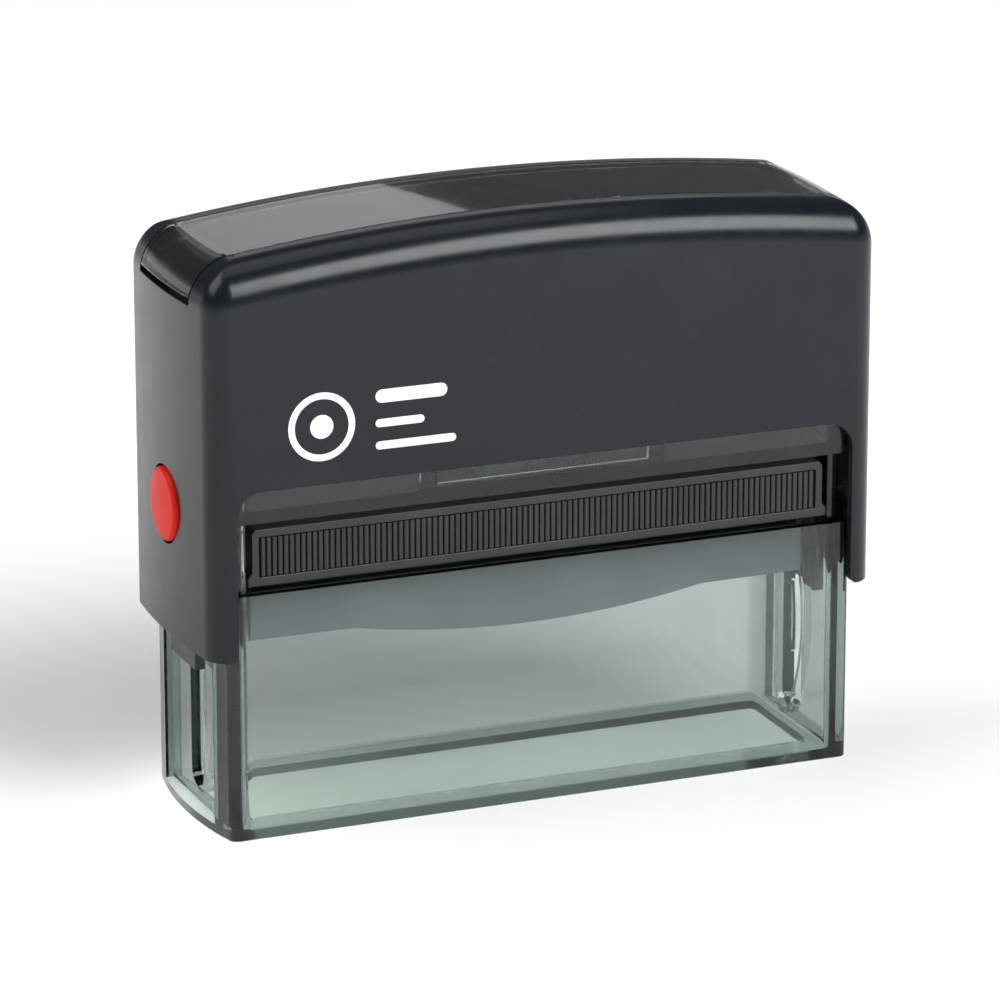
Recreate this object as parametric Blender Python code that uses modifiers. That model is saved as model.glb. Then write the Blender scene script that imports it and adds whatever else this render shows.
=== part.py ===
"""Self-inking stamp.

A smoke-clear base frame stands on the paper.  A black cover slides down over it and carries a
bridge, whose axle pins turn the die holder over on its way from the ink pad to the paper.
Units are metres, +Z is up, the front is -Y, and the origin is the middle of the base's underside.
"""
import math

import bmesh
import bpy
from mathutils import Matrix

# ---------------------------------------------------------------- driving dimensions
GAP = 0.0003                 # clearance kept between touching pieces
STEP = 0.0002                # keeps the faces of joined shapes apart
PAST_ENDS = 0.060            # cutters reach this far along X, beyond everything
PAST_SIDES = 0.030           # the same along Y
PAST_TOP = 0.090             # the same along Z

COVER_HALF_LENGTH = 0.0480
COVER_HALF_DEPTH = 0.0160
COVER_CORNER = 0.0036
COVER_BOW = 0.0007           # how far the ends bulge at their middle
COVER_BOTTOM = 0.0252
COVER_TOP = 0.0807
COVER_EDGE = 0.0054          # rounding between the walls and the top
ARCH_RADIUS = 0.320          # the top is an arch along X
COVER_FRONT_WALL = 0.0013
COVER_END_WALL = 0.0015
COVER_ROOF = 0.0034
COVER_STEP = 0.0705          # above this height the end walls are thicker
FRONT_OPENING = (0.0437, 0.0480)   # half-width and top height
FRONT_OPENING_CORNER = 0.0037

WINDOW_HALF_DEPTH = 0.0092
WINDOW_BOTTOM = 0.0728
WINDOW_SHELF = 0.0720        # floor of the recess the window's ends drop into
WINDOW_WALL = 0.0012
CARD_HALF_LENGTH = 0.0400
CARD_HALF_DEPTH = 0.0086
CARD_WALL = 0.0003
STRIP_FOOT = 0.060           # forms that only serve the window and card start here

FRAME_HALF_LENGTH = 0.04595
FRAME_HALF_DEPTH = 0.0143
FRAME_CORNER = 0.0014
FRAME_BOW = 0.0014
FRAME_TOP = 0.0520
FRAME_PLATE = 0.0012         # thickness of the bottom plate
ROOM_HALF_LENGTH = 0.0425
ROOM_HALF_DEPTH = 0.0130
ROOM_CORNER = 0.0015
BAY = (0.0335, 0.0432)       # lowest and highest height of the cartridge bay
BAY_STEP = 0.0129            # the bay takes everything further out than this, posts included
DECK_UNDERSIDE = 0.0430
DECK_TOP = 0.0447
IMPRINT_HALF = (0.0408, 0.0089)
RECESS_FLOOR = 0.0440
RECESS_HALF_WIDTH = 0.0097
SLOT_HALF_WIDTH = 0.00235
SLOT_HEIGHTS = (0.0030, 0.0315)
SLOT_RIM_HALF_WIDTH = 0.0033
SLOT_RIM_HEIGHTS = (0.0022, 0.0323)
SHOULDER_NOTCH = (0.0052, 0.0480)  # half-width and lowest height
CAM_RIB_FACE = 0.0412
SCREEN_DEPTH = (0.0118, 0.0136)    # how far from the middle the spring screens stand

STROKE = 0.0175
AXLE_HEIGHT = 0.0258
AXLE_RADIUS = 0.0012
AXLE_PIN = (0.0370, 0.0456)        # inner and outer end
BUSH = (0.0415, 0.0441)            # inner and outer end
FOLLOWER_OFFSET = 0.0042
FOLLOWER_RADIUS = 0.0009
GROOVE_HALF_WIDTH = 0.0012
CAM_BAND_HALF_WIDTH = 0.0019

BRIDGE_ARM = (0.0444, 0.0458)
BRIDGE_HALF_WIDTH = 0.00475
BRIDGE_FOOT = 0.0210
BRIDGE_EAR_HALF_WIDTH = 0.0080
SHOULDER = (0.0675, 0.0695)
CROSSBAR = (0.0713, 0.0735)
RISER = (0.0410, 0.0430)

BUTTON_HEIGHT = 0.0428
BUTTON_RADIUS = 0.0050
BUTTON_FACE = 0.0489
BUTTON_FLANGE = 0.0062

CARTRIDGE_HALF_LENGTH = 0.0407
CARTRIDGE_FLANGE = 0.0413
CARTRIDGE_HALF_DEPTH = 0.0131
CARTRIDGE = (0.0343, 0.0420)
PAD_HALF = (0.0383, 0.0092)
PAD = (0.0345, 0.0387)

HOLDER_HALF_LENGTH = 0.0397
HOLDER_HALF_DEPTH = 0.0082
HOLDER_LOWER_EDGE = 0.0254
HOLDER_DIP = (0.0250, 0.00234)     # half-width and depth of the curved belly
HOLDER_TOP = 0.0319
HOLDER_DRAFT = 0.0001              # the lower edge rises by this much towards the ends
BOSS_RADIUS = 0.0030
BOSS = (0.0350, 0.0396)            # inner and outer end
BOSS_BORE_FLOOR = 0.0366
DIE_HALF = (0.0375, 0.0073)
CUSHION = (0.0322, 0.0329)
DIE = (0.0332, 0.0340)

SPRING_RADIUS = 0.00405
WIRE_RADIUS = 0.00045
SPRING = (0.0460, 0.0705)
SPRING_TURNS = 8
POST_RADIUS = 0.0031

ALONG_Y = Matrix(((1, 0, 0, 0), (0, 0, -1, 0), (0, 1, 0, 0), (0, 0, 0, 1)))
ALONG_X = Matrix(((0, 0, 1, 0), (1, 0, 0, 0), (0, 1, 0, 0), (0, 0, 0, 1)))
SIDES = {"left": -1, "right": 1}


# ---------------------------------------------------------------- scene helpers
def clear_scene():
    for item in list(bpy.data.objects):
        bpy.data.objects.remove(item, do_unlink=True)


def new_collection(name):
    group = bpy.data.collections.new(name)
    bpy.context.scene.collection.children.link(group)
    return group


def move_to(item, group):
    for other in list(item.users_collection):
        other.objects.unlink(item)
    group.objects.link(item)
    return item


def as_cutter(item):
    item.hide_render = True
    item.display_type = "WIRE"
    return move_to(item, CUTTERS)


def material(name, colour, roughness, metallic=0.0, alpha=1.0):
    made = bpy.data.materials.new(name)
    made.use_nodes = True
    shader = made.node_tree.nodes["Principled BSDF"]
    shader.inputs["Base Color"].default_value = (*colour, 1.0)
    shader.inputs["Roughness"].default_value = roughness
    shader.inputs["Metallic"].default_value = metallic
    shader.inputs["Alpha"].default_value = alpha
    return made


def finish_part(item, look, parent=None):
    item.data.materials.clear()
    item.data.materials.append(look)
    if item.type == "MESH":
        item.data.shade_smooth()
        item.data.set_sharp_from_angle(angle=math.radians(30))
    move_to(item, PARTS)
    if parent is not None:
        item.parent = parent
        item.matrix_parent_inverse = parent.matrix_basis.inverted()
    return item


def mesh_object(name, bm):
    mesh = bpy.data.meshes.new(name)
    bmesh.ops.recalc_face_normals(bm, faces=bm.faces)
    bm.to_mesh(mesh)
    bm.free()
    item = bpy.data.objects.new(name, mesh)
    bpy.context.scene.collection.objects.link(item)
    return item


def joint_empty(name, location, parent=None):
    item = bpy.data.objects.new(name, None)
    item.location = location
    PARTS.objects.link(item)
    if parent is not None:
        item.parent = parent
        item.matrix_parent_inverse = parent.matrix_basis.inverted()
    return item


def boolean(item, other, operation):
    modifier = item.modifiers.new(other.name, "BOOLEAN")
    modifier.operation = operation
    modifier.object = as_cutter(other)
    return item


def cut(item, *others):
    for other in others:
        boolean(item, other, "DIFFERENCE")
    return item


def join(item, *others):
    for other in others:
        boolean(item, other, "UNION")
    return item


# ---------------------------------------------------------------- shape helpers
def box(name, low, high):
    bm = bmesh.new()
    size = [b - a for a, b in zip(low, high)]
    middle = [(a + b) / 2 for a, b in zip(low, high)]
    bmesh.ops.create_cube(bm, size=1.0, matrix=Matrix.LocRotScale(middle, None, size))
    return mesh_object(name, bm)


def rounded_box(name, half_length, half_depth, heights, radius, bow=0.0):
    ring = outline(half_length, half_depth, radius, bow, 1)
    return loft(name, [[(x, y, z) for x, y in ring] for z in heights])


def span(sign, near, far):
    """Two distances from the middle, as a range along an axis on the side that sign gives."""
    return sorted((sign * near, sign * far))


def cylinder(name, radius, start, end, y, z, vertices=24):
    """A cylinder along X from start to end."""
    length = abs(end - start)
    turn = (0.0, math.pi / 2, 0.0)
    place = ((start + end) / 2, y, z)
    bpy.ops.mesh.primitive_cylinder_add(
        vertices=vertices, radius=radius, depth=length, rotation=turn, location=place)
    item = bpy.context.object
    item.name = name
    return item


def prism(name, points, near, far, turn):
    """A flat outline, extruded between near and far along the axis that turn gives it."""
    curve = bpy.data.curves.new(name, "CURVE")
    curve.dimensions = "2D"
    curve.fill_mode = "BOTH"
    curve.extrude = abs(far - near) / 2
    spline = curve.splines.new("POLY")
    spline.points.add(len(points) - 1)
    for point, (a, b) in zip(spline.points, points):
        point.co = (a, b, 0.0, 1.0)
    spline.use_cyclic_u = True
    source = bpy.data.objects.new(name + "_curve", curve)
    bpy.context.scene.collection.objects.link(source)
    shift = (near + far) / 2
    source.matrix_world = turn @ Matrix.Translation((0.0, 0.0, -shift if turn is ALONG_Y else shift))
    return curve_to_mesh(name, source)


def curve_to_mesh(name, source):
    bpy.context.view_layer.update()
    evaluated = source.evaluated_get(bpy.context.evaluated_depsgraph_get())
    mesh = bpy.data.meshes.new_from_object(evaluated)
    bm = bmesh.new()
    bm.from_mesh(mesh)
    bmesh.ops.remove_doubles(bm, verts=bm.verts, dist=1e-6)
    bmesh.ops.dissolve_limit(bm, angle_limit=0.001, verts=bm.verts, edges=bm.edges)
    bmesh.ops.recalc_face_normals(bm, faces=bm.faces)
    bm.to_mesh(mesh)
    bm.free()
    item = bpy.data.objects.new(name, mesh)
    item.matrix_world = source.matrix_world.copy()
    bpy.context.scene.collection.objects.link(item)
    bpy.data.objects.remove(source, do_unlink=True)
    return item


def arc(centre, radius, start, end, steps):
    """Points on an arc, with its angles in degrees."""
    points = []
    for step in range(steps + 1):
        angle = math.radians(start + (end - start) * step / steps)
        points.append((centre[0] + radius * math.cos(angle), centre[1] + radius * math.sin(angle)))
    return points


def stadium(half_width, low, high):
    """An upright slot outline with round ends, its overall heights low and high."""
    top = arc((0.0, high - half_width), half_width, 0, 180, 10)
    bottom = arc((0.0, low + half_width), half_width, 180, 360, 10)
    return top + bottom


def outline(half_length, half_depth, radius, bow, side_steps):
    """A rounded rectangle with bowed ends, anticlockwise from the middle of its +X end."""
    radius = max(radius, 0.0008)
    straight = half_depth - radius
    quarter = []
    end_steps = 3 if bow else 1
    for step in range(end_steps):
        y = straight * step / end_steps
        quarter.append((half_length - bow * (y / straight) ** 2, y))
    quarter += arc((half_length - bow - radius, straight), radius, 0, 90, 5)
    reach = quarter[-1][0]
    side = [(reach - 2 * reach * step / side_steps, half_depth) for step in range(1, side_steps)]
    upper = quarter + side + [(-x, y) for x, y in reversed(quarter)]
    return upper + [(x, -y) for x, y in reversed(upper[1:-1])]


def loft(name, rows):
    """A closed mesh through matching rings; strips across Y close an arched last one."""
    bm = bmesh.new()
    rings = [[bm.verts.new(point) for point in row] for row in rows]
    count = len(rings[0])
    for lower, upper in zip(rings, rings[1:]):
        for i in range(count):
            j = (i + 1) % count
            bm.faces.new((lower[i], lower[j], upper[j], upper[i]))
    bm.faces.new(list(reversed(rings[0])))
    cap = rings[-1]
    if len({vert.co.z for vert in cap}) == 1:
        bm.faces.new(cap)
        return mesh_object(name, bm)
    for i in range(count // 2):
        strip = (cap[i], cap[i + 1], cap[count - i - 1], cap[(count - i) % count])
        bm.faces.new(list(dict.fromkeys(strip)))
    return mesh_object(name, bm)


def crest(x):
    """Height of the cover's arched top above x."""
    return COVER_TOP - x * x / (2 * ARCH_RADIUS)


def cover_form(name, inset, bottom, wall=0.0):
    """The cover's outer form, drawn in by inset all round, and by wall more on its sides."""
    edge = COVER_EDGE - inset
    half_length = COVER_HALF_LENGTH - inset - wall
    half_depth = COVER_HALF_DEPTH - inset - wall
    corner = COVER_CORNER - inset
    side_steps = 14
    base = outline(half_length, half_depth, corner, COVER_BOW, side_steps)
    rows = [[(x, y, bottom) for x, y in base]]
    steps = 6
    for step in range(steps + 1):
        angle = math.pi / 2 * step / steps
        drawn = edge * (1 - math.cos(angle))
        lift = edge * math.sin(angle)
        ring = outline(half_length - drawn, half_depth - drawn, corner - drawn, COVER_BOW, side_steps)
        rows.append([(x, y, crest(x) - inset - edge + lift) for x, y in ring])
    return loft(name, rows)


# ---------------------------------------------------------------- base
def opening_outline():
    """The cover's front opening, flared at its foot and rounded at its top corners."""
    half, top = FRONT_OPENING
    foot = 0.0011
    low = COVER_BOTTOM
    corner = FRONT_OPENING_CORNER
    right = [(half + foot, low - 0.002), (half + foot, low)]
    right += arc((half + foot, low + foot), foot, 270, 180, 4)[1:]
    right += arc((half - corner, top - corner), corner, 0, 90, 6)
    return right + [(-x, z) for x, z in reversed(right)]


def follower_path(offset):
    """Where a point beside the follower pin's middle runs on the end wall as the holder turns."""
    steps = 20
    points = []
    for step in range(steps + 1):
        turn = math.pi * step / steps
        y = -FOLLOWER_OFFSET * math.sin(turn)
        z = AXLE_HEIGHT - STROKE * step / steps + FOLLOWER_OFFSET * math.cos(turn)
        slope_y = -FOLLOWER_OFFSET * math.cos(turn)
        slope_z = -STROKE / math.pi - FOLLOWER_OFFSET * math.sin(turn)
        length = math.hypot(slope_y, slope_z)
        points.append((y + offset * slope_z / length, z - offset * slope_y / length))
    return points


def follower_band(half_width):
    """The outline swept along the follower's path, with round ends."""
    inner = follower_path(-half_width)
    outer = follower_path(half_width)
    low = AXLE_HEIGHT - STROKE - FOLLOWER_OFFSET
    high = AXLE_HEIGHT + FOLLOWER_OFFSET
    lead = math.degrees(math.atan2(FOLLOWER_OFFSET, STROKE / math.pi))
    top = arc((0.0, high), half_width, 180 - lead, -lead, 8)[1:-1]
    bottom = arc((0.0, low), half_width, lead, lead - 180, 8)[1:-1]
    return outer[::-1] + top + inner + bottom


def base_frame(look):
    frame = rounded_box(
        "base_frame", FRAME_HALF_LENGTH, FRAME_HALF_DEPTH, (0.0, FRAME_TOP), FRAME_CORNER, FRAME_BOW)
    above = FRAME_TOP + 0.004
    room = (ROOM_HALF_LENGTH, ROOM_HALF_DEPTH)
    notch, notch_floor = SHOULDER_NOTCH
    cut(frame,
        rounded_box("lower_room", *room, (FRAME_PLATE, DECK_UNDERSIDE), ROOM_CORNER),
        rounded_box("upper_room", *room, (DECK_TOP, above), ROOM_CORNER),
        rounded_box("imprint_hole", *IMPRINT_HALF, (-0.001, FRAME_PLATE + 0.001), 0.001),
        box("bay_front", (-PAST_ENDS, -PAST_SIDES, BAY[0]), (PAST_ENDS, -BAY_STEP, BAY[1])),
        box("bay_back", (-PAST_ENDS, BAY_STEP, BAY[0]), (PAST_ENDS, PAST_SIDES, BAY[1])),
        box("shoulder_notch", (-PAST_ENDS, -notch, notch_floor), (PAST_ENDS, notch, above)))
    for side, sign in SIDES.items():
        near, far = span(sign, RECESS_FLOOR, PAST_ENDS)
        low_corner = (near, -RECESS_HALF_WIDTH, FRAME_PLATE)
        cut(frame, box("recess_" + side, low_corner, (far, RECESS_HALF_WIDTH, above)))
    for side, sign in SIDES.items():
        add_cam_track(frame, side, sign)
    for side, sign in (("front", -1), ("back", 1)):
        join(frame, spring_screen(side, sign))
    cut(frame,
        prism("axle_slots", stadium(SLOT_HALF_WIDTH, *SLOT_HEIGHTS), -PAST_ENDS, PAST_ENDS, ALONG_X))
    return finish_part(frame, look)


def add_cam_track(frame, side, sign):
    """The raised band with the follower's groove, and the rim round the axle's slot."""
    weld = 0.0005
    band = span(sign, CAM_RIB_FACE, ROOM_HALF_LENGTH + weld)
    rim = span(sign, CAM_RIB_FACE + STEP, ROOM_HALF_LENGTH + weld + STEP)
    groove = span(sign, CAM_RIB_FACE - weld, ROOM_HALF_LENGTH + STEP)
    join(frame,
         prism("cam_band_" + side, follower_band(CAM_BAND_HALF_WIDTH), *band, ALONG_X),
         prism("slot_rim_" + side, stadium(SLOT_RIM_HALF_WIDTH, *SLOT_RIM_HEIGHTS), *rim, ALONG_X))
    cut(frame, prism("cam_groove_" + side, follower_band(GROOVE_HALF_WIDTH), *groove, ALONG_X))


def spring_screen(side, sign):
    """The U-shaped rib that stiffens the upper wall on either side of the spring."""
    outer, inner, low, sill, top = 0.0173, 0.01505, 0.0439, 0.0452, 0.0515
    points = [(-outer, top), (-outer, low), (outer, low), (outer, top), (inner, top), (inner, sill),
              (-inner, sill), (-inner, top)]
    return prism("screen_" + side, points, *span(sign, *SCREEN_DEPTH), ALONG_Y)


def pad_cartridge(look):
    low, high = CARTRIDGE
    wide, narrow, ease = CARTRIDGE_FLANGE, CARTRIDGE_HALF_LENGTH, 0.0005
    right = [(wide, low), (wide, low + 0.0011), (narrow, low + 0.0019), (narrow, high - ease),
             (narrow - ease, high)]
    points = right + [(-x, z) for x, z in reversed(right)]
    tray = prism("pad_cartridge", points, -CARTRIDGE_HALF_DEPTH, CARTRIDGE_HALF_DEPTH, ALONG_Y)
    room = [half + GAP for half in PAD_HALF]
    cut(tray, box("pad_room", (-room[0], -room[1], low - 0.002), (*room, PAD[1] + GAP)))
    return finish_part(tray, look)


def ink_pad(look):
    return finish_part(rounded_box("ink_pad", PAD_HALF[0], PAD_HALF[1], PAD, 0.001), look)


def spring_post(look):
    """The guide inside the foot of the spring, standing on the deck."""
    floor = DECK_TOP + GAP
    flange, foot, top, ease = 0.0052, 0.0006, 0.0525, 0.0006
    profile = [(0.0, top), (POST_RADIUS - ease, top), (POST_RADIUS, top - ease),
               (POST_RADIUS, floor + foot), (flange, floor + foot), (flange, floor), (0.0, floor)]
    return finish_part(turned("spring_post", profile, 24, Matrix()), look)


def turned(name, profile, steps, place):
    """A turned solid about its own Z, from a profile that runs from the top to the bottom."""
    bm = bmesh.new()
    points = [bm.verts.new((r, 0.0, z)) for r, z in profile]
    for a, b in zip(points, points[1:]):
        bm.edges.new((a, b))
    mesh = bpy.data.meshes.new(name)
    bm.to_mesh(mesh)
    bm.free()
    item = bpy.data.objects.new(name, mesh)
    item.matrix_world = place
    bpy.context.scene.collection.objects.link(item)
    screw = item.modifiers.new("turn", "SCREW")
    screw.steps = steps
    screw.render_steps = steps
    screw.use_merge_vertices = True
    screw.merge_threshold = 1e-5
    return item


def return_spring(look):
    curve = bpy.data.curves.new("return_spring", "CURVE")
    curve.dimensions = "3D"
    curve.bevel_depth = WIRE_RADIUS
    curve.bevel_resolution = 2
    curve.use_fill_caps = True
    per_turn = 14
    count = SPRING_TURNS * per_turn
    spline = curve.splines.new("POLY")
    spline.points.add(count)
    low, high = SPRING
    for step, point in enumerate(spline.points):
        turn = 2 * math.pi * step / per_turn
        x = SPRING_RADIUS * math.cos(turn)
        y = SPRING_RADIUS * math.sin(turn)
        point.co = (x, y, low + (high - low) * step / count, 1.0)
    item = bpy.data.objects.new("return_spring", curve)
    bpy.context.scene.collection.objects.link(item)
    return finish_part(item, look)


# ---------------------------------------------------------------- cover and what rides with it
def cover(look, parent):
    shell = cover_form("cover", 0.0, COVER_BOTTOM)
    inner_length = COVER_HALF_LENGTH - COVER_END_WALL
    inner_depth = COVER_HALF_DEPTH - COVER_FRONT_WALL
    room_corner = 0.0022
    room = (COVER_BOTTOM - 0.004, COVER_STEP)
    strip = WINDOW_HALF_DEPTH + GAP
    recess = box("window_recess", (-PAST_ENDS, -strip, WINDOW_SHELF), (PAST_ENDS, strip, PAST_TOP))
    cut(recess, cover_form("recess_floor", WINDOW_WALL + CARD_WALL + 2 * GAP, STRIP_FOOT))
    cut(shell,
        rounded_box("cover_room", inner_length, inner_depth, room, room_corner, COVER_BOW),
        cover_form("roof_room", COVER_ROOF, COVER_STEP - 0.001, GAP),
        prism("front_opening", opening_outline(), -PAST_SIDES, PAST_SIDES, ALONG_Y),
        recess,
        cylinder("button_holes", BUTTON_RADIUS + GAP, -PAST_ENDS, PAST_ENDS, 0.0, BUTTON_HEIGHT, 32))
    return finish_part(shell, look, parent)


def index_window(look, parent):
    strip = cover_form("index_window", 0.0, STRIP_FOOT)
    low_corner = (-PAST_ENDS, -WINDOW_HALF_DEPTH, WINDOW_BOTTOM)
    keep = box("window_strip", low_corner, (PAST_ENDS, WINDOW_HALF_DEPTH, PAST_TOP))
    boolean(strip, keep, "INTERSECT")
    cut(strip, cover_form("window_under", WINDOW_WALL, STRIP_FOOT - 0.002))
    return finish_part(strip, look, parent)


def index_card(look, parent):
    inset = WINDOW_WALL + GAP
    sheet = cover_form("index_card", inset, STRIP_FOOT)
    low_corner = (-CARD_HALF_LENGTH, -CARD_HALF_DEPTH, WINDOW_BOTTOM)
    keep = box("card_outline", low_corner, (CARD_HALF_LENGTH, CARD_HALF_DEPTH, PAST_TOP))
    boolean(sheet, keep, "INTERSECT")
    cut(sheet, cover_form("card_under", inset + CARD_WALL, STRIP_FOOT - 0.002))
    return finish_part(sheet, look, parent)


def bridge(look, parent):
    """The inverted U under the cover's roof, whose arms hold the axle pins outside the end walls."""
    inner, outer = BRIDGE_ARM
    above = [(outer, BRIDGE_FOOT), (outer, SHOULDER[1]), (RISER[1], SHOULDER[1]), (RISER[1], CROSSBAR[1])]
    under = [(inner, BRIDGE_FOOT), (inner, SHOULDER[0]), (RISER[0], SHOULDER[0]), (RISER[0], CROSSBAR[0])]
    points = above + [(-x, z) for x, z in reversed(above)]
    points += [(-x, z) for x, z in under] + list(reversed(under))
    body = prism("bridge", points, -BRIDGE_HALF_WIDTH, BRIDGE_HALF_WIDTH, ALONG_Y)
    for side, sign in SIDES.items():
        join(body, prism("ear_" + side, ear_outline(), *span(sign, inner, outer), ALONG_X))
    play = 0.0004
    cut(body,
        cylinder("ear_holes", BUTTON_FLANGE + play, -PAST_ENDS, PAST_ENDS, 0.0, BUTTON_HEIGHT, 32),
        cylinder("pin_holes", AXLE_RADIUS + GAP, -PAST_ENDS, PAST_ENDS, 0.0, AXLE_HEIGHT))
    return finish_part(body, look, parent)


def ear_outline():
    """The widened part of the bridge's arm round the lock button."""
    wide = BRIDGE_EAR_HALF_WIDTH
    narrow = BRIDGE_HALF_WIDTH - 2 * STEP
    reach, slope = 0.0088, 0.0030
    low, high = BUTTON_HEIGHT - reach, BUTTON_HEIGHT + reach
    right = [(narrow, low), (wide, low + slope), (wide, high - slope), (narrow, high)]
    return right + [(-y, z) for y, z in reversed(right)]


def axle_pin(side, sign, look, parent):
    pin = cylinder("axle_pin_" + side, AXLE_RADIUS, *span(sign, *AXLE_PIN), 0.0, AXLE_HEIGHT)
    return finish_part(pin, look, parent)


def axle_bush(side, sign, look, parent):
    """The sleeve that slides in the end wall's slot."""
    inner, outer = BUSH
    ring = cylinder("axle_bush_" + side, SLOT_HALF_WIDTH - GAP, *span(sign, *BUSH), 0.0, AXLE_HEIGHT)
    bore = span(sign, inner - GAP, outer + GAP)
    cut(ring, cylinder("bush_bore_" + side, AXLE_RADIUS + GAP, *bore, 0.0, AXLE_HEIGHT))
    return finish_part(ring, look, parent)


def lock_button(side, sign, look, parent):
    ease = 0.0006
    flange_thickness = 0.0008
    flange_outer = COVER_HALF_LENGTH - COVER_END_WALL - GAP
    flange_inner = flange_outer - flange_thickness
    profile = [(0.0, BUTTON_FACE)]
    profile += arc((BUTTON_RADIUS - ease, BUTTON_FACE - ease), ease, 90, 0, 4)
    profile += [(BUTTON_RADIUS, flange_outer), (BUTTON_FLANGE, flange_outer),
                (BUTTON_FLANGE, flange_inner), (0.0, flange_inner)]
    place = Matrix.Translation((0.0, 0.0, BUTTON_HEIGHT)) @ Matrix.Rotation(sign * math.pi / 2, 4, "Y")
    return finish_part(turned("lock_button_" + side, profile, 32, place), look, parent)


# ---------------------------------------------------------------- die holder
def platen(look, parent):
    """The die holder: a bar with a curved belly, and a round boss at each end for its axle."""
    wide, depth = HOLDER_DIP
    radius = (wide * wide + depth * depth) / (2 * depth)
    spread = math.degrees(math.asin(wide / radius))
    belly = arc((0.0, HOLDER_LOWER_EDGE - depth + radius), radius, 270 - spread, 270 + spread, 16)
    end = HOLDER_HALF_LENGTH
    foot = HOLDER_LOWER_EDGE + HOLDER_DRAFT
    points = [(-end, HOLDER_TOP), (-end, foot)] + belly + [(end, foot), (end, HOLDER_TOP)]
    bar = prism("platen", points, -HOLDER_HALF_DEPTH, HOLDER_HALF_DEPTH, ALONG_Y)
    for side, sign in SIDES.items():
        bore = span(sign, BOSS_BORE_FLOOR, end + GAP)
        join(bar, cylinder("boss_" + side, BOSS_RADIUS, *span(sign, *BOSS), 0.0, AXLE_HEIGHT))
        cut(bar, cylinder("boss_bore_" + side, AXLE_RADIUS + GAP, *bore, 0.0, AXLE_HEIGHT))
    return finish_part(bar, look, parent)


def platen_cam(side, sign, look, parent):
    """The lobe on the holder's end, with the follower pin that runs in the end wall's groove."""
    lobe = 0.0017
    tip = AXLE_HEIGHT + FOLLOWER_OFFSET
    lean = math.degrees(math.asin((BOSS_RADIUS - lobe) / FOLLOWER_OFFSET))
    upper = arc((0.0, tip), lobe, lean, 180 - lean, 8)
    lower = arc((0.0, AXLE_HEIGHT), BOSS_RADIUS, 180 - lean, 360 + lean, 14)
    inner, outer = HOLDER_HALF_LENGTH + GAP, CAM_RIB_FACE - GAP
    pin = span(sign, inner + STEP, ROOM_HALF_LENGTH - GAP)
    bore = span(sign, inner - GAP, outer + GAP)
    plate = prism("platen_cam_" + side, upper + lower, *span(sign, inner, outer), ALONG_X)
    join(plate, cylinder("follower_" + side, FOLLOWER_RADIUS, *pin, 0.0, tip, 16))
    cut(plate, cylinder("cam_bore_" + side, AXLE_RADIUS + GAP, *bore, 0.0, AXLE_HEIGHT))
    return finish_part(plate, look, parent)


def die_layers(foam, rubber, parent):
    corner = 0.001
    finish_part(rounded_box("die_cushion", *DIE_HALF, CUSHION, corner), foam, parent)
    finish_part(rounded_box("text_die", *DIE_HALF, DIE, corner), rubber, parent)


# ---------------------------------------------------------------- the object
def build():
    black = material("cover_black", (0.045, 0.050, 0.056), 0.32)
    smoke = material("frame_smoke", (0.36, 0.44, 0.42), 0.08, alpha=0.45)
    clear = material("window_clear", (0.10, 0.11, 0.12), 0.05, alpha=0.6)
    card = material("card_black", (0.02, 0.02, 0.022), 0.6)
    red = material("button_red", (0.73, 0.058, 0.040), 0.35)
    pad_black = material("cartridge_black", (0.025, 0.027, 0.030), 0.4)
    felt = material("pad_felt", (0.03, 0.03, 0.06), 0.9)
    grey = material("holder_grey", (0.18, 0.20, 0.21), 0.4)
    steel = material("spring_steel", (0.60, 0.61, 0.62), 0.25, metallic=1.0)
    white = material("bush_white", (0.75, 0.75, 0.72), 0.45)
    foam = material("cushion_foam", (0.12, 0.12, 0.12), 0.9)
    rubber = material("die_rubber", (0.30, 0.07, 0.05), 0.7)

    press = joint_empty("press_slide_axis", (0.0, 0.0, COVER_BOTTOM))
    flip = joint_empty("platen_flip_axis", (0.0, 0.0, AXLE_HEIGHT), press)

    base_frame(smoke)
    pad_cartridge(pad_black)
    ink_pad(felt)
    spring_post(white)
    return_spring(steel)
    cover(black, press)
    index_window(clear, press)
    index_card(card, press)
    bridge(pad_black, press)
    platen(grey, flip)
    die_layers(foam, rubber, flip)
    for side, sign in SIDES.items():
        axle_pin(side, sign, steel, press)
        axle_bush(side, sign, white, press)
        lock_button(side, sign, red, press)
        platen_cam(side, sign, white, flip)


clear_scene()
PARTS = new_collection("self_inking_stamp")
CUTTERS = new_collection("cutters")
build()
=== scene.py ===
"""Looks of the self-inking stamp: fine moulded shells, smoke-clear frame, lights and camera."""
import math

import bmesh
import bpy
from mathutils import Matrix, Vector


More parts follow.
